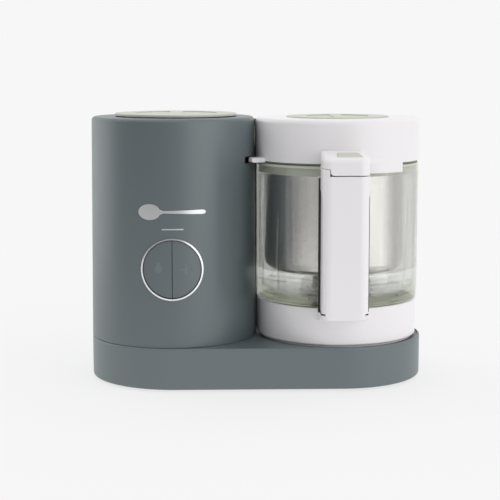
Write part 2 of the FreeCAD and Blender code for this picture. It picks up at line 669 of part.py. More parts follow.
def grip_shell():
    """White front and sides of the grip, open on the finger side."""
    bar = rounded_foot(grip_form(GRIP_FOOT, 195), 3.5)
    corner = pushed_across([(-120, 0), (-120, SEAM_FOOT + SEAM), (-93.1, SEAM_FOOT + SEAM), (-91.1, SEAM_FOOT + 2.5),
                            (-90, SEAM_FOOT + 5.2), (-80, SEAM_FOOT + 5.2), (-80, 0)], 30)
    sides = corner.cut(front_strip(STRIP_HALF, -103.6))
    lip_room = box(LIP_LEFT - 0.4, 140, -130, -60, GRIP_TOP, 240).cut(cyl(LIP_R - 0.3, 150, 250, JUG_X))
    inner = GRIP_W / 2 - GRIP_WALL
    hollow = box(GRIP_X - inner, GRIP_X + inner, -103.4, GRIP_BACK + 1, 50, 176)
    panel = pushed_across([(-109, 60), (-109, 156), (-105, 161.5), (-99, 165.5), (-85, 169), (-85, 60)], 30)
    skin = grip_form(60, 180).cut(grip_form(59, 181, PANEL_DEPTH, -80)).common(panel)
    skin = skin.cut(front_strip(STRIP_HALF, -100))
    screws = [rod(1.3, (GRIP_X, -80, z), (GRIP_X, GRIP_FRONT + 2.4, z)) for z in GRIP_SCREWS]
    bar = bar.cut(sides).cut(above_cone(-0.4, 50)).cut(lip_room).cut(hollow).cut(skin)
    return bar.cut(Part.makeCompound(screws))


def grip_cover():
    """Dark lining on the finger side, with the arm that steadies it against the jug's rim."""
    low = SEAM_FOOT
    side = [(GRIP_BACK + 0.1, 175.9), (GRIP_BACK + 0.1, low + 5), (-91, low + 2.4), (-93, low + SEAM), (-103.2, low + SEAM),
            (-103.2, low), (-90, low), (-87, low + 2), (LINER_BACK, low + 5.4), (LINER_BACK, 175.9)]
    wide = box(GRIP_X - LINER_HALF, GRIP_X + LINER_HALF, GRIP_BACK + 0.05, -80, 60, 180)
    lining = pushed_across(side, 30).common(fused(wide, grip_form(60, 180, 0.4, -88)))
    inner = GRIP_W / 2 - GRIP_WALL - 0.2
    ledge = box(GRIP_X - inner, GRIP_X + inner, GRIP_BACK - 1.6, GRIP_BACK + 0.5, 90, 175.8)
    pads = [rod(4.0, (GRIP_X, -103.2, z), (GRIP_X, GRIP_BACK, z)) for z in GRIP_SCREWS]
    arm = pillar(GRIP_X - inner, GRIP_X + inner, -88.0, -60, 164, 175.9, 2.0)
    whole = fused(lining, ledge, arm, *pads).cut(cyl(GLASS_R + 0.5, 150, 200, JUG_X))
    tongue_hole = box(GRIP_X - inner + 0.4, GRIP_X + inner - 0.4, -102.4, -91.6, 60, 89)
    holes = [rod(1.7, (GRIP_X, -70, z), (GRIP_X, -110, z)) for z in GRIP_SCREWS]
    sinks = [rod(3.6, (GRIP_X, LINER_BACK + 1, z), (GRIP_X, LINER_BACK - 1.5, z)) for z in GRIP_SCREWS]
    return whole.cut(tongue_hole).cut(Part.makeCompound(holes + sinks))


def grip_screws():
    made = []
    for z in GRIP_SCREWS:
        head = rod(3.4, (GRIP_X, LINER_BACK - 0.1, z), (GRIP_X, LINER_BACK - 1.5, z))
        shank = rod(1.28, (GRIP_X, LINER_BACK - 1, z), (GRIP_X, GRIP_FRONT + 2.8, z))
        slot = box(GRIP_X - 2.4, GRIP_X + 2.4, LINER_BACK - 0.8, LINER_BACK + 1, z - 0.4, z + 0.4)
        made.append(fused(head, shank).cut(slot))
    return Part.makeCompound(made)


def bushing():
    """Bearing block clamped through the hole in the glass."""
    body = fused(cyl(15.9, 56.0, FLOOR + 1, JUG_X), cyl(19.0, FLOOR + 0.7, FLOOR + 2.0, JUG_X))
    return body.cut(cyl(SHAFT_R + RUNNING, 50, 90, JUG_X)).cut(cyl(9.0, 50, 62, JUG_X))


def jug_gaskets():
    """Soft rings under the bushing's head and under the edge of the glass."""
    return Part.makeCompound([tube(21.0, 16.4, FLOOR + 0.02, FLOOR + 0.65, JUG_X),
                              tube(64.9, 54.0, COLLAR_TOP - 1.95, GLASS_BOTTOM - 0.02, JUG_X)])


def bushing_nut():
    nut = cyl(24.5, 58.0, GLASS_BOTTOM - 0.6, JUG_X)
    notches = [cyl(2.4, 57, 62, JUG_X + 24.5 * math.cos(a), 24.5 * math.sin(a))
               for a in (math.radians(30 * i) for i in range(12))]
    return nut.cut(cyl(16.0, 50, 70, JUG_X)).cut(Part.makeCompound(notches))


# ---------------------------------------------------------------- blade
def blade_shaft():
    return cyl(SHAFT_R, 50.0, 90.0, JUG_X)


def blade_hub():
    hub = turned([(0, FLOOR + 2.4), (20.2, FLOOR + 2.4), (19.8, 84.4), (18.2, 84.8), (17.8, 89.4), (16.6, 90.6),
                  (0, 90.6)], JUG_X)
    return hub.cut(cyl(SHAFT_R, 70, 90.0, JUG_X)).cut(blade_stack(0.1))


def wavy_blade(reach, root_z, tip_z, width, thickness, spread):
    """One flat blade with a curved edge, rising from the hub to its tip."""
    outline = [(15, -width), (reach * 0.55, -width * 1.15), (reach * 0.85, -width * 0.5), (reach, spread),
               (reach * 0.86, width * 0.75), (reach * 0.55, width * 0.55), (15, width)]
    points = [V(r, t, 0) for r, t in outline]
    curve = Part.BSplineCurve()
    curve.interpolate(points)
    face = Part.Face(Part.Wire([curve.toShape(), Part.makeLine(points[-1], points[0])]))
    blade = face.extrude(V(0, 0, thickness))
    blade.rotate(V(0, 0, 0), AWAY, -math.degrees(math.atan2(tip_z - root_z, reach - 15)))
    lift = root_z - 15 * math.tan(math.atan2(tip_z - root_z, reach - 15))
    blade.translate(V(JUG_X, 0, lift))
    return blade


def blades_round(make, angles):
    made = []
    for angle in angles:
        blade = make()
        blade.rotate(V(JUG_X, 0, 0), UP, angle)
        made.append(blade)
    return made


def blade_lower(grow=0.0):
    made = blades_round(lambda: wavy_blade(58.0, 79.6 - grow, 83.6 - grow, 7.0, 1.0 + 2 * grow, 3.0), (172, 352))
    return made


def blade_upper(grow=0.0):
    made = blades_round(lambda: wavy_blade(40.0, 85.6 - grow, 88.6 - grow, 6.0, 1.0 + 2 * grow, 2.0), (82, 262))
    return made


def blade_stack(grow):
    return Part.makeCompound(blade_lower(grow) + blade_upper(grow))


def blade_coupling():
    """Six-toothed socket under the jug that drops over the drive coupler."""
    cup = cyl(15.0, 38.4, 54.0, JUG_X)
    cup = cup.cut(splined(8.0, 2.9, 37, 49.0))
    return cup.cut(cyl(SHAFT_R, 50.0, 60, JUG_X))


# ---------------------------------------------------------------- basket
def basket_cup():
    wall = 0.9
    r = BASKET_R
    z = BASKET_BOTTOM
    profile = [(0, z), (r - 8, z), (r - 4.2, z + 1.1), (r - 1.2, z + 4.0), (r, z + 8), (r, 179.4),
               (r - wall, 179.4), (r - wall, z + 8.2), (r - 2.0, z + 4.6), (r - 4.7, z + 1.9),
               (r - 8.2, z + wall), (0, z + wall)]
    cup = turned(profile, BASKET_X)
    flange = cyl(FLANGE_R, 178.4, 179.4, JUG_X).cut(cyl(r - wall, 170, 190, BASKET_X))
    holes = []
    for ring, count in ((0, 1), (9, 6), (18, 12), (27, 18), (36, 24), (44, 30)):
        for i in range(count):
            a = 2 * math.pi * i / count
            holes.append(cyl(1.7, z - 1, z + 3, BASKET_X + ring * math.cos(a), ring * math.sin(a)))
    return fused(cup, flange).cut(Part.makeCompound(holes))


def basket_band():
    profile = [(0, BAND_BOTTOM), (BAND_R - 0.6, BAND_BOTTOM), (BAND_R, BAND_BOTTOM + 0.6),
               (BAND_R, GLASS_TOP + 0.15), (67.9, GLASS_TOP + 0.15), (67.9, BAND_TOP), (0, BAND_TOP)]
    band = turned(profile, JUG_X)
    return band.cut(cyl(BASKET_R + 0.3, 150, 178.35, BASKET_X)).cut(cyl(FLANGE_R + 0.3, 178.3, 200, JUG_X))


# ---------------------------------------------------------------- lid
def lid_seal():
    foot = BAND_TOP + 0.1
    return turned([(60.5, foot), (66.2, foot), (66.2, foot + 0.7), (67.6, foot + 0.7), (67.6, LID_BOTTOM - 0.3),
                   (64.6, LID_BOTTOM - 0.3), (64.6, 187.5), (60.5, 187.5)], JUG_X)


def hook_slab(x0, x1, drop, z0):
    """A block under the hook's sloping top, lowered by a drop."""
    side = [(-60, z0), (-60, HOOK_TOP - drop), (-70, HOOK_TOP - drop),
            (GRIP_FRONT, HOOK_TOP - drop - HOOK_FALL * (-70 - GRIP_FRONT)), (GRIP_FRONT, z0)]
    points = [V(x0, y, z) for y, z in side]
    return Part.Face(Part.makePolygon(points + points[:1])).extrude(V(x1 - x0, 0, 0))


def release_plan(grow, z0, z1):
    """The release button's outline, a little wider at the front, with rounded corners."""
    back = (-78.4 + grow, 8.0 + grow)
    front = (-101.2 - grow, 10.0 + grow)
    corners = [(RELEASE_X - back[1], back[0]), (RELEASE_X + back[1], back[0]),
               (RELEASE_X + front[1], front[0]), (RELEASE_X - front[1], front[0])]
    points = [V(x, y, z0) for x, y in corners]
    block = Part.Face(Part.makePolygon(points + points[:1])).extrude(V(0, 0, z1 - z0))
    upright = [e for e in block.Edges if abs(e.BoundBox.ZLength - (z1 - z0)) < 0.01]
    return block.makeFillet(2.5 + grow, upright)


def lid_hook():
    """Block on the lid's rim that hooks over the top of the handle."""
    x0 = GRIP_X - HOOK_HALF
    x1 = GRIP_X + HOOK_HALF
    block = hook_slab(x0, x1, 0, 170)
    front = [e for e in block.Edges if e.BoundBox.YMax < GRIP_FRONT + 0.1 and e.BoundBox.ZLength > 5]
    block = block.makeFillet(GRIP_CORNER - 0.4, front)
    crown = [e for e in block.Edges if e.BoundBox.ZMin > 190 and e.BoundBox.YMax < -69 and e.BoundBox.YLength > 0.5
             or e.BoundBox.ZMin > 190 and e.BoundBox.YMax < GRIP_FRONT + 0.1]
    block = block.makeFillet(4.4, crown)
    taper = []
    for side in (-1, 1):
        points = [V(GRIP_X + side * HOOK_HALF, -92, 160), V(GRIP_X + side * (HOOK_HALF - 2.6), -58, 160),
                  V(GRIP_X + side * (HOOK_HALF + 6), -58, 160), V(GRIP_X + side * (HOOK_HALF + 6), -92, 160)]
        taper.append(Part.Face(Part.makePolygon(points + points[:1])).extrude(V(0, 0, 60)))
    under_back = turned([(50, 160), (LIP_R, 160), (LIP_R, hook_underside(LIP_R)), (90, HOOK_SEAT), (50, HOOK_SEAT)], JUG_X)
    under_left = above_cone(0, 50, 150).common(box(0, LIP_LEFT, -130, -50, 140, 220))
    corner = box(LIP_LEFT - 1, LIP_LEFT + 3, -130, -60, 160, HOOK_LIP + 3)
    corner = corner.cut(rod(3.0, (LIP_LEFT + 3, -140, HOOK_LIP + 3), (LIP_LEFT + 3, -50, HOOK_LIP + 3)))
    below_lip = box(0, 140, -130, -60, 150, HOOK_LIP)
    pocket = release_plan(0.3, 189.0, 210)
    removed = [*taper, under_back, under_left, corner, below_lip, pocket, cyl(LID_R - 1.0, 150, 230, JUG_X)]
    for tool in removed:
        block = block.cut(tool)
    return block


def lid_tab():
    """Rounded tab that reaches the column's sensor window; it stops just short, so that the lid can be lifted."""
    tab = sector(81.0, LID_R - 2, SENSOR_Z - 1.9, SENSOR_Z + 1.9, 196.5, 205.5)
    rims = [e for e in tab.Edges if e.BoundBox.ZLength < 0.01 and at_rim(e, 75)]
    tab = tab.makeFillet(1.5, rims)
    return tab.cut(cyl(LID_R - 0.4, 180, LID_BOTTOM, JUG_X)).cut(cyl(column_radius(SENSOR_Z) + 0.4, 180, 192, COLUMN_X))


def at_rim(edge, radius):
    """Whether an edge's middle lies beyond a radius from the jug's axis."""
    middle = edge.valueAt((edge.FirstParameter + edge.LastParameter) / 2)
    return math.hypot(middle.x - JUG_X, middle.y) > radius


def lid_cover():
    dome_top = cyl(LID_R, LID_BOTTOM, LID_TOP, JUG_X)
    dome_top = dome_top.makeFillet(LID_EDGE, edges_at(dome_top, LID_TOP, 60))
    inside = cyl(LID_R - LID_WALL, LID_BOTTOM - 1, LID_TOP - LID_WALL, JUG_X)
    recess = cyl(CAP_R + 0.4, LID_TOP - 1.2, LID_TOP + 1, JUG_X)
    shaft = cyl(CAP_STEM_R + 0.4, LID_TOP - 10, LID_TOP + 1, JUG_X)
    throat = tube(CAP_STEM_R + 2.6, CAP_STEM_R + 0.4, LID_TOP - 12, LID_TOP - 2, JUG_X)
    steam_hole = rod(7.0, (-6, 0, STEAM_Z), (8, 0, STEAM_Z))
    apron = turned([(LID_R - 0.15, 177.6), (LID_R + 1.2, 177.6), (LID_R + 1.2, 186), (LID_R - 0.1, 190),
                    (LID_R - 0.15, 190)], JUG_X, 0, -75.5, 29.5)
    whole = fused(dome_top.cut(inside), lid_hook(), lid_tab(), apron)
    return fused(whole.cut(recess).cut(shaft).cut(steam_hole), throat)


def lid_inner():
    """Splash plate under the dome, with steam holes round it."""
    plate = turned([(0, 190.0), (58, 190.0), (60.2, 187.7), (66.4, 187.7), (66.4, 189.9), (61.2, 189.9),
                    (58.8, 192.2), (0, 192.2)], JUG_X)
    holes = []
    for i in range(10):
        a = math.radians(36 * i)
        holes.append(cyl(3.0, 180, 200, JUG_X + 46 * math.cos(a), 46 * math.sin(a)))
    return plate.cut(Part.makeCompound(holes))


def filler_cap():
    disc = cyl(CAP_R, LID_TOP - 1.1, LID_TOP + 0.9, JUG_X)
    disc = disc.makeFillet(0.8, edges_at(disc, LID_TOP + 0.9, 30))
    stem = cyl(CAP_STEM_R, 204.0, LID_TOP, JUG_X)
    hollow = cyl(CAP_STEM_R - 2.2, 203.0, 208.0, JUG_X)
    groove = tube(CAP_STEM_R + 1, CAP_STEM_R - 1.3, 209.5, 212.5, JUG_X)
    whole = fused(disc, stem).cut(hollow).cut(groove)
    return whole.cut(grip_dish(26.5, 0.7, LID_TOP + 0.9, JUG_X, 9.0))


def filler_cap_seal():
    return tube(CAP_STEM_R + 0.2, CAP_STEM_R - 1.25, 209.6, 212.4, JUG_X)


def release_button():
    slab = release_plan(0, 191.2, 205).common(hook_slab(0, 140, 0.15, 180))
    return slab.cut(cyl(5.4, 190, 192.4, RELEASE_X, RELEASE_Y))


def release_dome():
    return dome((RELEASE_X, RELEASE_Y, 189.05), (RELEASE_X, RELEASE_Y, 192.2), 5.0, 3.4)


# ---------------------------------------------------------------- assembly
NODES = {
    "base_shell": base_shell,
    "bottom_cover": bottom_cover,
    "rubber_feet": rubber_feet,
    "bottom_screws": bottom_screws,
    "cord_gland": cord_gland,
    "terminal_block": terminal_block,
    "drive_belt": drive_belt,
    "motor_pulley": motor_pulley,
    "output_pulley": output_pulley,
    "output_spindle": output_spindle,
    "drive_coupler": drive_coupler,
    "spindle_housing": spindle_housing,
    "spindle_bearings": spindle_bearings,
    "column_shell": column_shell,
    "chassis": chassis,
    "motor_can": motor_can,
    "motor_end_cap": motor_end_cap,
    "stator_core": stator_core,
    "motor_rotor": motor_rotor,
    "cooling_fan": cooling_fan,
    "boiler_tank": boiler_tank,
    "tank_gasket": tank_gasket,
    "heater_plate": heater_plate,
    "heater_element": heater_element,
    "thermostats": thermostats,
    "steam_pipe": steam_pipe,
    "steam_outlet": steam_outlet,
    "tank_lid_plug": tank_lid_plug,
    "tank_lid_seal": tank_lid_seal,
    "tank_lid_grip": tank_lid_grip,
    "button_ring": chrome_ring,
    "steam_button": lambda: half_button(-1),
    "blend_button": lambda: half_button(1),
    "button_domes": button_domes,
    "button_carrier": button_carrier,
    "control_board": control_board,
    "micro_switches": micro_switches,
    "lid_sensor": lid_sensor,
    "glass_bowl": glass_bowl,
    "jug_collar": jug_collar,
    "grip_shell": grip_shell,
    "grip_cover": grip_cover,
    "grip_screws": grip_screws,
    "blade_bushing": bushing,
    "jug_gaskets": jug_gaskets,
    "bushing_nut": bushing_nut,
    "blade_shaft": blade_shaft,
    "blade_hub": blade_hub,
    "lower_blades": lambda: Part.makeCompound(blade_lower()),
    "upper_blades": lambda: Part.makeCompound(blade_upper()),
    "blade_coupling": blade_coupling,
    "basket_cup": basket_cup,
    "basket_band": basket_band,
    "lid_seal": lid_seal,
    "lid_cover": lid_cover,
    "lid_inner": lid_inner,
    "filler_cap": filler_cap,
    "filler_cap_seal": filler_cap_seal,
    "release_button": release_button,
    "release_dome": release_dome,
}


def main():
    os.makedirs("parts", exist_ok=True)
    for name, make in NODES.items():
        shape = make()
        solids = shape.Solids
        bad = [s for s in solids if not s.isValid() or s.Volume <= 0]
        print(f"{name}: {len(solids)} solid(s), {sum(s.Volume for s in solids) / 1000:.2f} cm3", "INVALID" if bad else "")
        made = solids[0] if len(solids) == 1 else Part.makeCompound(solids)
        made.exportStep(f"parts/{name}.step")


main()
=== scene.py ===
"""Looks of the baby food maker: finishes for its CAD pieces, and finer pieces where the CAD is plain.

Lengths are in millimetres until a mesh is made.
+X runs from the column to the jug, and the handle points along -Y.
"""

import json
import math

import bmesh
import bpy
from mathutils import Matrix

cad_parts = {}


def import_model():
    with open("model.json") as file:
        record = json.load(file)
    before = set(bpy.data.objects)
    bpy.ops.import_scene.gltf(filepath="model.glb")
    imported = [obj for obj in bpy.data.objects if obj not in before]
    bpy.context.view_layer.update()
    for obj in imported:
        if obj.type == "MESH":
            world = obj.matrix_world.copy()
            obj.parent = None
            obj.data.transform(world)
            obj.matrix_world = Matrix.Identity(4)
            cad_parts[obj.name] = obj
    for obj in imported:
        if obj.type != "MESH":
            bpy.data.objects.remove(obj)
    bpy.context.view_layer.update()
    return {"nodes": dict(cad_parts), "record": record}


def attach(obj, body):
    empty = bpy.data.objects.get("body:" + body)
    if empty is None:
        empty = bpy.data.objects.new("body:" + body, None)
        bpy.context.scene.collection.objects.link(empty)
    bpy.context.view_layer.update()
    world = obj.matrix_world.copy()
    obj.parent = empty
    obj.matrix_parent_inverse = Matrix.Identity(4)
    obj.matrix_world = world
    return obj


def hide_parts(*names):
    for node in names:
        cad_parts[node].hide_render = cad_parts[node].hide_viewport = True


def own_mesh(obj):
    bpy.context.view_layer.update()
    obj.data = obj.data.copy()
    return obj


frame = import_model()

# ---------------------------------------------------------------- driving dimensions, as in the CAD
MM = 0.001
COLUMN_X = -70.2
COLUMN_FOOT = 36.4
COLUMN_TOP = 221.2
COLUMN_FOOT_R = 69.8
COLUMN_TOP_R = 68.2
RING_Z = 100.8
KEY_X = 11.0  # middle of each half button, from the column's axis
JUG_X = 68.3
BASKET_X = 65.9
GLASS_R = 68.6
GLASS_BOTTOM = 68.0
GLASS_TOP = 181.0
GLASS_FLOOR = 75.5
GLASS_BORE_R = 16.2
GLASS_INNER_R = 66.4

RIB_ANGLES = (-163, -143, -37, -20, 20, 37, 143, 163)
RIB_DEPTH = 1.1
RIB_HALF_WIDTH = 3.0  # at the foot
RIB_RISE = 82.0
RIB_LEAN = 3.0  # degrees from foot to tip

# Share of light that passes the glass straight, so that its inside stays bright.
GLASS_CLARITY = 0.6

RELEASE_X = 69.0
RELEASE_Y = -89.8
DOME_FOOT = 189.05
DOME_TOP = 192.2

BAR_Z = 133.3
BADGE_Z = 147.2
BADGE_LEFT = -97.0
BADGE_RIGHT = -43.0
BAR_LEFT = -78.4
BAR_LENGTH = 17.4
TRIM_SUNK = -0.1
TRIM_PROUD = 0.25

CREASE = 35  # degrees; sharper edges than this stay sharp
ICON_RINGS = 3
ICON_SPOKES = 48


# ---------------------------------------------------------------- mesh helpers
def build(name, points, faces):
    """A mesh object from points in millimetres."""
    mesh = bpy.data.meshes.new(name)
    mesh.from_pydata([(x * MM, y * MM, z * MM) for x, y, z in points], [], faces)
    mesh.update()
    obj = bpy.data.objects.new(name, mesh)
    bpy.context.scene.collection.objects.link(obj)
    return obj


def tidy(obj):
    """Weld, face outwards, and shade smoothly except across sharp edges."""
    work = bmesh.new()
    work.from_mesh(obj.data)
    bmesh.ops.remove_doubles(work, verts=work.verts, dist=1e-6)
    bmesh.ops.recalc_face_normals(work, faces=work.faces)
    work.to_mesh(obj.data)
    work.free()
    obj.data.shade_smooth()
    obj.data.set_sharp_from_angle(angle=math.radians(CREASE))
    return obj


def lathe(name, outline, x, y, segments, radius_at=None):
    """Turn a closed outline of (radius, height) about an upright axis.

    radius_at may change each point's radius.
    """
    points = []
    faces = []
    count = len(outline)
    for s in range(segments):
        angle = 2 * math.pi * s / segments
        for r, z in outline:
            size = radius_at(r, z, angle) if radius_at else r
            points.append((x + size * math.cos(angle), y + size * math.sin(angle), z))
    for s in range(segments):
        near = s * count
        far = (s + 1) % segments * count
        for k in range(count):
            after = (k + 1) % count
            faces.append((near + k, far + k, far + after, near + after))
    return tidy(build(name, points, faces))


def column_radius(z):
    share = (z - COLUMN_FOOT) / (COLUMN_TOP - COLUMN_FOOT)
    return COLUMN_FOOT_R + share * (COLUMN_TOP_R - COLUMN_FOOT_R)


def on_column(x, z, lift):
    """A point on the front of the column, lifted off its surface."""
    radius = column_radius(z) + lift
    return (x, -math.sqrt(radius ** 2 - (x - COLUMN_X) ** 2), z)


def plate_on_column(name, rows, back, front):
    """A thin plate that follows the column's curve.

    It is made from a grid of (x, z) points and the lifts of its two faces.
    """
    across = len(rows[0])
    points = [on_column(x, z, back) for row in rows for x, z in row]
    points += [on_column(x, z, front) for row in rows for x, z in row]
    half = len(points) // 2
    faces = []
    for r in range(len(rows) - 1):
        for c in range(across - 1):
            a = r * across + c
            quad = (a, a + 1, a + 1 + across, a + across)
            faces.append(quad)
            faces.append(tuple(half + i for i in reversed(quad)))
    rim = list(range(across))
    rim += [r * across + across - 1 for r in range(1, len(rows))]
    rim += [(len(rows) - 1) * across + c for c in reversed(range(across - 1))]
    rim += [r * across for r in reversed(range(1, len(rows) - 1))]
    for a, b in zip(rim, rim[1:] + rim[:1]):
        faces.append((a, b, half + b, half + a))
    return tidy(build(name, points, faces))


def star_rows(x, z, radius_at):
    """Grid for an outline given by its radius at each angle, round a middle point."""
    rows = []
    for k in range(ICON_RINGS + 1):
        share = 0.02 + 0.98 * k / ICON_RINGS
        row = []
        for s in range(ICON_SPOKES + 1):
            angle = 2 * math.pi * s / ICON_SPOKES
            size = radius_at(angle) * share
            row.append((x + size * math.cos(angle), z + size * math.sin(angle)))
        rows.append(row)
    return rows


# ---------------------------------------------------------------- finishes
def connect(links, value, socket):
    """Put a number on a socket, or link another socket to it."""
    if isinstance(value, (int, float)):
        socket.default_value = value
    else:
        links.new(value, socket)


def calculate(nodes, links, operation, first, second):
    node = nodes.new("ShaderNodeMath")
    node.operation = operation
    connect(links, first, node.inputs[0])
    connect(links, second, node.inputs[1])
    return node.outputs[0]


class Finish:
    """A node material with a Principled shader, built up step by step."""

    def __init__(self, name, colour, roughness, metallic=0.0, **sockets):
        self.material = bpy.data.materials.new(name)
        self.material.use_nodes = True
        self.nodes = self.material.node_tree.nodes
        self.links = self.material.node_tree.links
        self.shader = self.nodes["Principled BSDF"]
        self.colour = colour
        self.set("Base Color", (*colour, 1))
        self.set("Roughness", roughness)
        self.set("Metallic", metallic)
        for socket, value in sockets.items():
            self.set(socket.replace("_", " "), value)
        self.place = self.nodes.new("ShaderNodeTexCoord").outputs["Object"]
        self.relief = None

    def set(self, socket, value):
        self.shader.inputs[socket].default_value = value

    def around(self, x, turns, height):
        """Coordinates wound round an upright axis: (angle, 0, height), each times a scale."""
        shift = self.nodes.new("ShaderNodeVectorMath")
        shift.operation = "SUBTRACT"
        shift.inputs[1].default_value = (x * MM, 0, 0)
        self.links.new(self.place, shift.inputs[0])
        parts = self.nodes.new("ShaderNodeSeparateXYZ")
        self.links.new(shift.outputs[0], parts.inputs[0])
        angle = self.math("ARCTAN2", parts.outputs["Y"], parts.outputs["X"])
        wound = self.nodes.new("ShaderNodeCombineXYZ")
        self.links.new(self.math("MULTIPLY", angle, turns), wound.inputs["X"])
        self.links.new(self.math("MULTIPLY", parts.outputs["Z"], height), wound.inputs["Z"])
        return wound.outputs[0]

    def math(self, operation, first, second):
        return calculate(self.nodes, self.links, operation, first, second)

    def mix_shaders(self, share, first, second):
        node = self.nodes.new("ShaderNodeMixShader")
        connect(self.links, share, node.inputs["Fac"])
        self.links.new(first.outputs[0], node.inputs[1])
        self.links.new(second.outputs[0], node.inputs[2])
        return node

    def noise(self, scale, detail=2.0, place=None):
        node = self.nodes.new("ShaderNodeTexNoise")
        node.inputs["Scale"].default_value = scale
        node.inputs["Detail"].default_value = detail
        self.links.new(place or self.place, node.inputs["Vector"])
        return node.outputs["Fac"]

    def range(self, value, low, high):
        node = self.nodes.new("ShaderNodeMapRange")
        node.inputs["From Min"].default_value = 0.3
        node.inputs["From Max"].default_value = 0.7
        node.inputs["To Min"].default_value = low
        node.inputs["To Max"].default_value = high
        self.links.new(value, node.inputs["Value"])
        return node.outputs["Result"]

    def mottle(self, pattern, amount):
        """Lighten and darken the colour a little, following a pattern."""
        ramp = self.nodes.new("ShaderNodeMix")
        ramp.data_type = "RGBA"
        for socket, side in (("A", -1), ("B", 1)):
            shade = [min(1.0, c * (1 + side * amount)) for c in self.colour]
            ramp.inputs[socket].default_value = (*shade, 1)
        self.links.new(self.range(pattern, 0, 1), ramp.inputs["Factor"])
        self.links.new(ramp.outputs["Result"], self.shader.inputs["Base Color"])

    def gloss(self, pattern, low, high):
        self.links.new(self.range(pattern, low, high), self.shader.inputs["Roughness"])

    def bump(self, pattern, height):
        """Relief of a height in millimetres."""
        node = self.nodes.new("ShaderNodeBump")
        node.inputs["Strength"].default_value = 1.0
        node.inputs["Distance"].default_value = height * MM
        self.links.new(pattern, node.inputs["Height"])
        if self.relief:
            self.links.new(self.relief, node.inputs["Normal"])
        self.relief = node.outputs["Normal"]
        self.links.new(self.relief, self.shader.inputs["Normal"])


def moulded(name, colour, roughness, grain=0.004, size=2600, drift=0.003, **sockets):
    """Moulded plastic or rubber: a fine spark-eroded grain, uneven gloss and faint colour drift."""
    finish = Finish(name, colour, roughness, **sockets)
    finish.mottle(finish.noise(38, 2), drift)
    finish.gloss(finish.noise(60, 1), roughness - 4 * drift, roughness + 4 * drift)
    finish.bump(finish.noise(size, 2), grain)
    return finish.material


def brushed(name, colour, roughness, x):
    """Metal brushed round an upright axis."""
    finish = Finish(name, colour, roughness, 1.0)
    lines = finish.noise(1.0, 3, finish.around(x, 6.0, 3200))
    finish.mottle(lines, 0.05)
    finish.gloss(lines, roughness - 0.04, roughness + 0.05)
    finish.bump(lines, 0.002)
    return finish.material


def drawn_steel_painted_bands():
    """Deep-drawn steel, brushed round and round, with painted reflections: random upright light and dark
    bands in its colour.
    """
    finish = Finish("steel", (0.68, 0.66, 0.64), 0.13, 1.0)
    lines = finish.noise(1.0, 3, finish.around(BASKET_X, 6.0, 3200))
    finish.gloss(lines, 0.10, 0.18)
    finish.bump(lines, 0.0006)
    # Painted reflection: light and dark upright bands in the colour, varying at random round the basket's
    # axis.
    finish.mottle(finish.noise(1.0, 1, finish.around(BASKET_X, 2.5, 0)), 0.12)
    return finish.material


def cast(name, colour, roughness):
    """Plain machined or cast metal."""
    finish = Finish(name, colour, roughness, 1.0)
    grain = finish.noise(900, 4)
    finish.mottle(finish.noise(60, 3), 0.06)
    finish.gloss(grain, roughness - 0.05, roughness + 0.05)
    finish.bump(grain, 0.006)
    return finish.material


def clear_glass():
    """Pressed clear glass, faintly wavy, greener where it is thick."""
    finish = Finish("clear_glass", (0.985, 0.995, 0.985), 0.0, IOR=1.5)
    finish.set("Transmission Weight", 1.0)
    finish.bump(finish.noise(22, 2), 0.03)
    depth = finish.nodes.new("ShaderNodeVolumeAbsorption")
    depth.inputs["Color"].default_value = (0.70, 0.72, 0.62, 1)
    depth.inputs["Density"].default_value = 24
    output = finish.nodes["Material Output"]
    finish.links.new(depth.outputs["Volume"], output.inputs["Volume"])
    clear = finish.nodes.new("ShaderNodeBsdfTransparent")
    gleam = finish.nodes.new("ShaderNodeBsdfGlossy")
    gleam.inputs["Roughness"].default_value = 0.02
    leaving = finish.nodes.new("ShaderNodeNewGeometry").outputs["Backfacing"]
    mirror = finish.nodes.new("ShaderNodeFresnel").outputs[0]
    entering = finish.math("SUBTRACT", 1, leaving)
    thin = finish.mix_shaders(finish.math("MULTIPLY", mirror, entering), clear, gleam)
    blend = finish.mix_shaders(GLASS_CLARITY, finish.shader, thin)
    finish.links.new(blend.outputs[0], output.inputs["Surface"])
    return finish.material


SLATE = (0.100, 0.129, 0.138)
TRAY = (0.122, 0.155, 0.164)
WHITE = (0.88, 0.86, 0.875)
SAGE = (0.58, 0.605, 0.515)

slate = moulded("slate_plastic", SLATE, 0.38, grain=0.001, Specular_IOR_Level=0.9)
tray_slate = moulded("tray_plastic", TRAY, 0.4, grain=0.001, Specular_IOR_Level=0.8)
white = moulded("white_plastic", WHITE, 0.28, grain=0.0004, drift=0.0006)
sage = moulded("sage_plastic", SAGE, 0.42)
sage_soft = moulded("sage_rubber", (0.40, 0.44, 0.33), 0.5, grain=0.006)
# Darker green rubber for the lid's seal and the jug's gaskets: partly the rubber's own colour, partly
# painted shade where the seal sits under the lid's skirt.
sage_seal_painted_shade = moulded("seal_rubber_painted_shade", (0.22, 0.255, 0.175), 0.45, grain=0.006)
black = moulded("black_plastic", (0.012, 0.012, 0.013), 0.32)
rubber = moulded("rubber", (0.025, 0.025, 0.026), 0.7, grain=0.012, size=1500)
grey = moulded("grey_plastic", (0.3, 0.31, 0.32), 0.5)
board = moulded("board", (0.02, 0.13, 0.05), 0.35, grain=0.003)
steel = drawn_steel_painted_bands()
tank_steel = brushed("tank_steel", (0.62, 0.61, 0.58), 0.3, COLUMN_X)
blade_steel = cast("blade_steel", (0.62, 0.62, 0.61), 0.2)
chrome = cast("chrome", (0.88, 0.89, 0.90), 0.14)
silver = moulded("silver_paint", (0.74, 0.755, 0.76), 0.32, grain=0.0005, metallic=0.85)
screw_steel = cast("screw_steel", (0.5, 0.5, 0.51), 0.32)
aluminium = cast("aluminium", (0.6, 0.6, 0.61), 0.42)
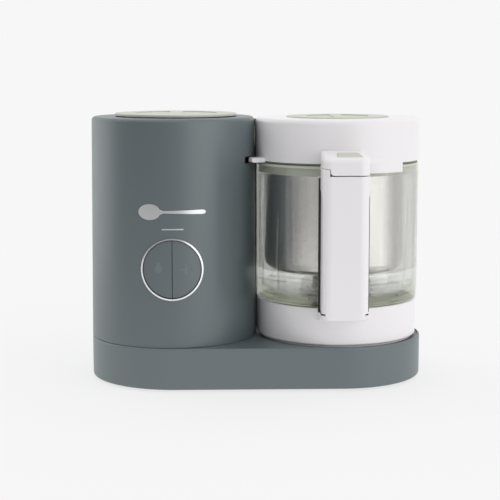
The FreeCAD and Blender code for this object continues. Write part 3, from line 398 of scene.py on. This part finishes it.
laminate = cast("laminate", (0.18, 0.18, 0.19), 0.5)
motor_steel = cast("motor_steel", (0.42, 0.43, 0.44), 0.35)
bronze = cast("bronze", (0.5, 0.34, 0.17), 0.45)
icon_slate = moulded("icon_slate", (0.15, 0.185, 0.195), 0.3, grain=0.002)
glass = clear_glass()

FINISH_OF_SLOT = {
    "slate_plastic": slate,
    "tray_plastic": tray_slate,
    "white_plastic": white,
    "sage_plastic": sage,
    "sage_rubber": sage_soft,
    "glass": glass,
    "steel": steel,
    "blade_steel": blade_steel,
    "chrome": chrome,
    "black_plastic": black,
    "rubber": rubber,
    "belt_rubber": rubber,
    "screw_steel": screw_steel,
    "aluminium": aluminium,
    "laminate": laminate,
    "motor_steel": motor_steel,
    "board": board,
    "grey_plastic": grey,
    "bronze": bronze,
}
SPECIAL_FINISH = {
    "boiler_tank": tank_steel,
    # The seal and the gaskets get the darker green, which holds painted shade under the lid's skirt.
    "lid_seal": sage_seal_painted_shade,
    "jug_gaskets": sage_seal_painted_shade,
}


def dress_cad_nodes():
    """Give every carried-over CAD node the finish of its material slot, or its own."""
    for part in frame["record"]["subparts"]:
        name = part["node"]
        finish = SPECIAL_FINISH.get(name, FINISH_OF_SLOT[part["material_slot"]])
        frame["nodes"][name].material_slots[0].material = finish


def dress(obj, material, slot, body, *nodes):
    """Finish a new piece, hang it on the body it rides on, and hide the CAD nodes it stands for."""
    obj.data.materials.append(material)
    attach(obj, body)
    if nodes:
        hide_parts(*nodes)
    return obj


# ---------------------------------------------------------------- column details
def silver_bar():
    rows = []
    for z in (BAR_Z - 0.5, BAR_Z + 0.5):
        rows.append([(BAR_LEFT + BAR_LENGTH * i / 12, z) for i in range(13)])
    bar = plate_on_column("silver_bar", rows, TRIM_SUNK, TRIM_PROUD)
    dress(bar, silver, "chrome", "base")


def spoon_half_width(share):
    """Half the height of the spoon emblem, at a share of its length from the bowl's tip."""
    bowl = 6.4 * math.sqrt(max(0.0, 1 - ((share - 0.165) / 0.165) ** 2))
    handle = 0.9 + 1.5 * max(0.0, share - 0.3) ** 1.2
    end = math.sqrt(max(0.0, 1 - max(0.0, (share - 0.94) / 0.06) ** 2))
    neck = max(0.0, 1 - abs(share - 0.33) / 0.09)
    if share < 0.25:
        return bowl
    return max(bowl, handle * end, 2.3 * neck ** 2)


def spoon_badge():
    """A plain baby spoon in silver, lying across the front of the column."""
    length = BADGE_RIGHT - BADGE_LEFT
    rows = []
    for side in (-1, -0.5, 0, 0.5, 1):
        row = []
        for i in range(61):
            share = (1 - math.cos(math.pi * i / 60)) / 2
            row.append((BADGE_LEFT + length * share, BADGE_Z + side * spoon_half_width(share)))
        rows.append(row)
    badge = plate_on_column("spoon_badge", rows, TRIM_SUNK, TRIM_PROUD)
    dress(badge, silver, "chrome", "base")


def drop_radius(angle):
    """A water drop, its point upwards."""
    turn = abs((angle - math.pi / 2 + math.pi) % (2 * math.pi) - math.pi)
    return 3.0 + 2.6 * math.exp(-(turn / 0.42) ** 2) + 0.4 * math.exp(-(turn / 1.0) ** 2)


def whisk_radius(angle):
    """A four-bladed mixing rotor."""
    return 1.5 + 3.2 * abs(math.cos(2 * angle)) ** 2.2


def button_icons():
    icons = (("drop_icon", -KEY_X, drop_radius, "steam_key"),
             ("rotor_icon", KEY_X, whisk_radius, "blend_key"))
    for name, shift, radius_at, body in icons:
        rows = star_rows(COLUMN_X + shift, RING_Z, radius_at)
        dress(plate_on_column(name, rows, -0.4, 0.0), icon_slate, "slate_plastic", body)


# ---------------------------------------------------------------- jug
def rib_bulge(z, angle):
    """How far the glass is thickened inwards by the pointed ribs, at a height and an angle."""
    rise = (z - GLASS_FLOOR - 2) / RIB_RISE
    if rise < 0 or rise > 1:
        return 0.0
    width = math.radians(RIB_HALF_WIDTH * (1 - rise) + 0.3)
    best = 0.0
    for rib in RIB_ANGLES:
        middle = math.radians(rib + RIB_LEAN * rise)
        off = abs((angle - middle + math.pi) % (2 * math.pi) - math.pi) / width
        if off < 1:
            best = max(best, math.cos(off * math.pi / 2))
    return best * RIB_DEPTH * (1 - rise) ** 0.5


def glass_jug():
    """The glass bowl: a thick stepped foot, smooth walls and slim pointed ribs inside them."""
    outside = [(GLASS_BORE_R, GLASS_BOTTOM), (61.0, GLASS_BOTTOM)]
    foot = ((3.2, 0.1), (1.0, 0.9), (0.3, 2.2), (0.6, 3.6), (0.5, 4.6), (0.1, 6.4), (0.0, 9))
    outside += [(GLASS_R - inset, GLASS_BOTTOM + rise) for inset, rise in foot]
    rim = ((0.0, 0.7), (0.3, 0.2), (0.8, 0.0))
    outside += [(GLASS_R - inset, GLASS_TOP - drop) for inset, drop in rim]
    wall = [(GLASS_INNER_R + 0.5, GLASS_TOP), (GLASS_INNER_R + 0.1, GLASS_TOP - 0.3),
            (GLASS_INNER_R, GLASS_TOP - 0.8)]
    for i in range(41):
        share = i / 40
        wall.append((GLASS_INNER_R - 0.7 * share ** 2, 165 - (165 - GLASS_FLOOR - 9) * share))
    hollow = ((65.2, 6), (64.2, 3.6), (62.2, 1.8), (60.4, 0.7), (58.2, 0.15), (56.0, 0), (GLASS_BORE_R, 0))
    wall += [(r, GLASS_FLOOR + rise) for r, rise in hollow]

    def radius_at(r, z, angle):
        inside = 62 < r < 66.6 and z < GLASS_TOP - 5
        return r - rib_bulge(z, angle) if inside else r

    jug = lathe("glass_jug", outside + wall, JUG_X, 0, 360, radius_at)
    dress(jug, glass, "glass", "jug", "glass_bowl")


def release_bellows():
    """The soft dome under the release button, a fixed shape that rides on the lid."""
    outline = [(5.0, DOME_FOOT), (3.9, DOME_TOP - 0.9), (3.4, DOME_TOP),
               (2.6, DOME_TOP), (3.1, DOME_TOP - 1.0), (4.2, DOME_FOOT)]
    dome = lathe("release_bellows", outline, RELEASE_X, RELEASE_Y, 48)
    dress(dome, sage_soft, "sage_rubber", "lid", "release_dome")
    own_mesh(dome)


dress_cad_nodes()
release_bellows()
silver_bar()
spoon_badge()
button_icons()
glass_jug()


# ---------------------------------------------------------------- stage
SEEN = 0.93  # the backdrop and the open floor
FLOOR_GLOW = 0.722  # light that the floor gives off, so that it meets the backdrop
FLOOR_ALBEDO = 0.21
FLOOR_REACH = 700

# Soft boxes round the horizon, as pairs of direction and brightness.
# Directions are degrees from the user's side, positive to the user's right.
SURROUND = ((-180, 0.93), (-150, 0.93), (-140, 1.4), (-98, 1.6), (-84, 0.4), (-30, 0.22), (12, 0.35),
            (28, 1.75), (66, 1.75), (84, 0.6), (140, 0.8), (150, 0.93), (180, 0.93))
OVERHEAD = 1.05

LENS = 98.34
CAMERA_PLACE = (-0.0413, -1.1555, 0.2672)  # metres
CAMERA_DOWN = 0.1377  # radians
CAMERA_TURN = -0.031


def floor():
    corners = ((-1, -1), (1, -1), (1, 1), (-1, 1))
    plane = build("floor", [(x * FLOOR_REACH, y * FLOOR_REACH, 0) for x, y in corners], [(0, 1, 2, 3)])
    finish = Finish("floor", (FLOOR_ALBEDO,) * 3, 0.9)
    finish.mottle(finish.noise(3, 2), 0.004)
    finish.set("Specular IOR Level", 0.0)
    finish.set("Emission Color", (1, 1, 1, 1))
    finish.set("Emission Strength", FLOOR_GLOW)
    plane.data.materials.append(finish.material)


def world():
    """A studio: soft boxes at the left rear and the right, and a dark front.

    Rays straight from the camera see an even backdrop instead.
    """
    studio = bpy.data.worlds.new("studio")
    bpy.context.scene.world = studio
    studio.use_nodes = True
    nodes = studio.node_tree.nodes
    links = studio.node_tree.links

    def math_node(operation, first, second):
        return calculate(nodes, links, operation, first, second)

    def mixed(share, low, high):
        node = nodes.new("ShaderNodeMix")
        for socket, value in (("Factor", share), ("A", low), ("B", high)):
            connect(links, value, node.inputs[socket])
        return node.outputs["Result"]

    direction = nodes.new("ShaderNodeSeparateXYZ")
    links.new(nodes.new("ShaderNodeTexCoord").outputs["Generated"], direction.inputs[0])
    forward = math_node("MULTIPLY", direction.outputs["Y"], -1)
    angle = math_node("ARCTAN2", direction.outputs["X"], forward)
    turn = math_node("ADD", math_node("DIVIDE", angle, 2 * math.pi), 0.5)
    ramp = nodes.new("ShaderNodeFloatCurve")
    curve = ramp.mapping.curves[0]
    brightest = max(level for _, level in SURROUND)
    stops = [(azimuth / 360 + 0.5, level / brightest) for azimuth, level in SURROUND]
    curve.points[0].location = stops[0]
    curve.points[1].location = stops[-1]
    for stop in stops[1:-1]:
        curve.points.new(*stop)
    for point in curve.points:
        point.handle_type = "VECTOR"
    ramp.mapping.update()
    links.new(turn, ramp.inputs["Value"])
    ring = math_node("MULTIPLY", ramp.outputs[0], brightest)
    height = nodes.new("ShaderNodeMapRange")
    height.interpolation_type = "SMOOTHSTEP"
    height.inputs["From Min"].default_value = 0.35
    height.inputs["From Max"].default_value = 0.75
    links.new(direction.outputs["Z"], height.inputs["Value"])
    dome = mixed(height.outputs["Result"], ring, OVERHEAD)
    seen = mixed(nodes.new("ShaderNodeLightPath").outputs["Is Camera Ray"], dome, SEEN)
    nodes["Background"].inputs["Color"].default_value = (1, 1, 1, 1)
    links.new(seen, nodes["Background"].inputs["Strength"])


def camera():
    lens = bpy.data.cameras.new("camera")
    lens.sensor_width = 36
    lens.lens = LENS
    lens.clip_end = 100
    obj = bpy.data.objects.new("camera", lens)
    obj.location = CAMERA_PLACE
    obj.rotation_euler = (math.pi / 2 - CAMERA_DOWN, 0, CAMERA_TURN)
    bpy.context.scene.collection.objects.link(obj)
    bpy.context.scene.camera = obj


bpy.context.scene.view_settings.view_transform = "Standard"
floor()
world()
camera()
